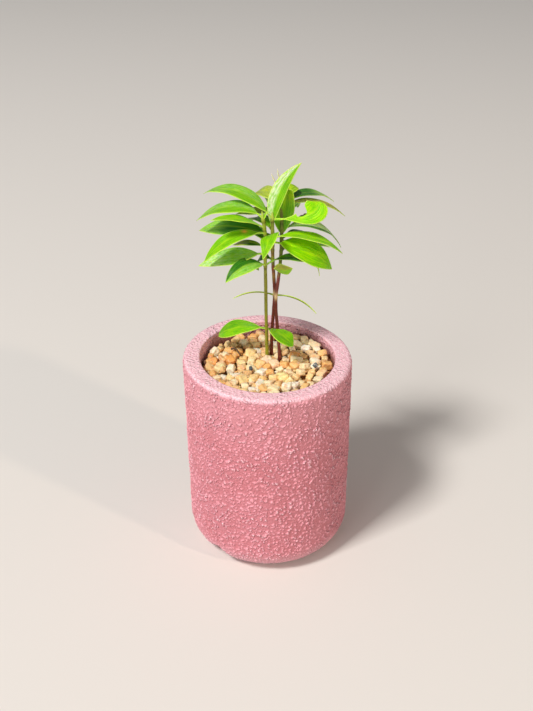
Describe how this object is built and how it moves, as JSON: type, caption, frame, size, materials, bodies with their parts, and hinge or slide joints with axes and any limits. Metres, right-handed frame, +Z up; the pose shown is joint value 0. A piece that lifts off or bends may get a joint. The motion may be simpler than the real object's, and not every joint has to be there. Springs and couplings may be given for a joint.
{
  "type": "podocarpus bonsai",
  "caption": "Podocarpus seedlings with lance-shaped leaves, planted together in a round grainy pot filled with potting mix under yellow gravel",
  "frame": {"origin": "centre of the pot's flat base, on the surface it stands on", "axes": "+Z up along the pot's axis and the stems, -Y toward the viewer of the picture, +X to that viewer's right"},
  "size_m": [0.0806, 0.0805, 0.1954],
  "materials": {
    "pink_grit": "rough",
    "potting_mix": "rough",
    "yellow_gravel": "matte",
    "leaf_olive_stem": "satin",
    "leaf_brown_stem": "satin",
    "leaf_back": "satin"
  },
  "bodies": {
    "root": {"pot": "pink_grit", "soil": "potting_mix", "gravel": "yellow_gravel", "seedling_a": "leaf_olive_stem", "seedling_b": "leaf_brown_stem", "seedling_c": "leaf_back"}
  },
  "joints": []
}
